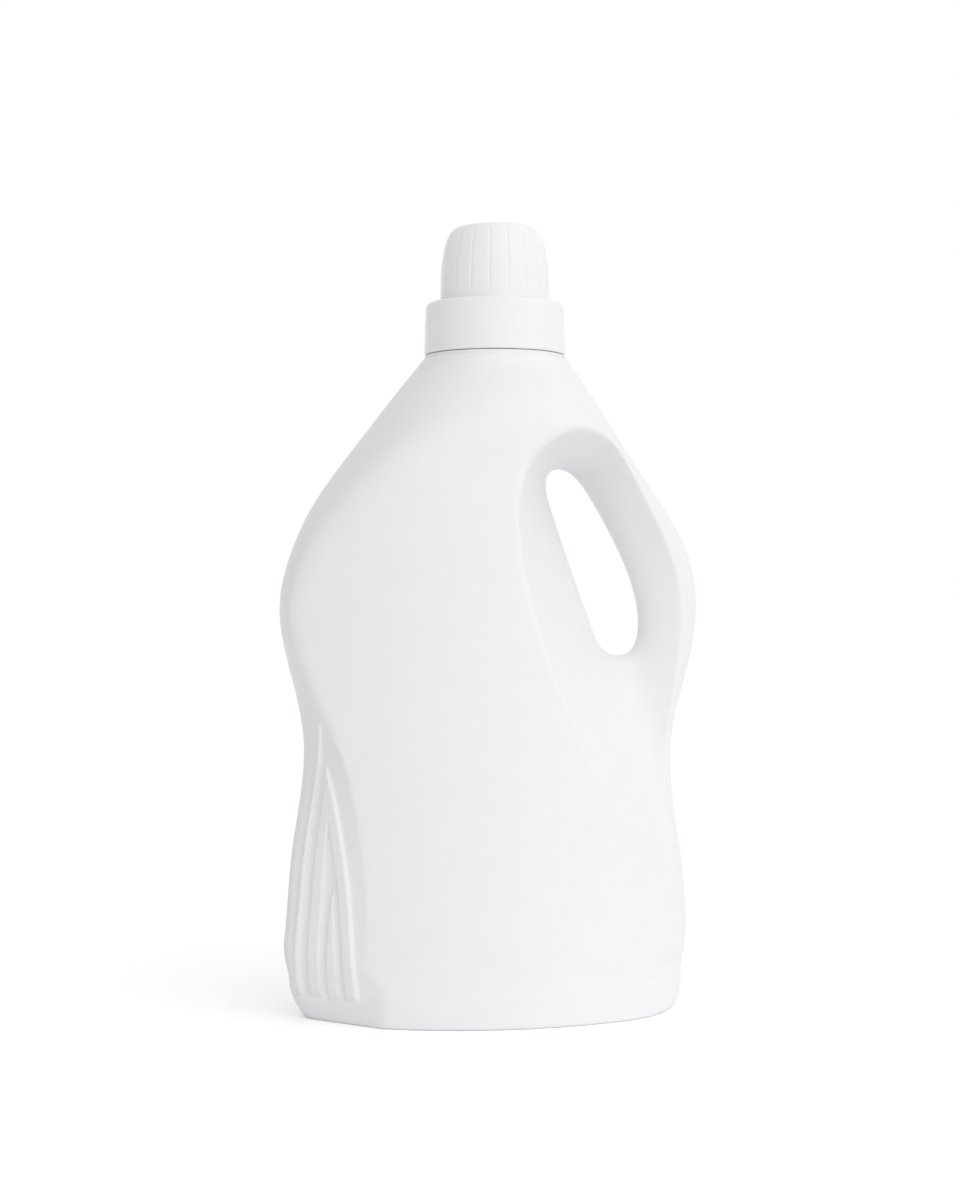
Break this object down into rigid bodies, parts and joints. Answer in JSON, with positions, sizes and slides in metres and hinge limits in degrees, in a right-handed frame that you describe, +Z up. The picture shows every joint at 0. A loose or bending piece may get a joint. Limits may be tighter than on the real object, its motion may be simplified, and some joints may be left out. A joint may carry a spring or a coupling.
{
  "type": "detergent jug",
  "caption": "Blank white blow-moulded detergent jug with a slanted through handle, ribbed nose flanks, drip-back pouring insert and a screw-on fluted dosing cap.",
  "frame": {"origin": "middle of the jug's outline on the ground it stands on", "axes": "+Z up, +X to the handle end, -X to the nose, -Y out of the front panel"},
  "size_m": [0.1678, 0.0912, 0.3094],
  "materials": {
    "bottle": "satin white polyethylene",
    "spout": "satin white polyethylene",
    "seal": "matt foamed gasket",
    "cap": "glossy white polypropylene"
  },
  "bodies": {
    "jug": {"bottle": "bottle", "pour_spout": "spout"},
    "seal": {"cap_seal": "seal"},
    "cap": {"dosing_cap": "cap"}
  },
  "joints": [
    {"name": "cap_lift", "type": "slide", "parent": "jug", "child": "seal", "axis": [0, 0, 1], "range_m": [0, 0.0076]},
    {"name": "cap_turn", "type": "hinge", "parent": "seal", "child": "cap", "pos_m": [0.001, 0, 0.265], "axis": [0, 0, 1], "range_deg": [0, 540]}
  ],
  "couplings": [
    {"joint": "cap_lift", "follows": "cap_turn", "m_per_rad": 0.00079577}
  ]
}
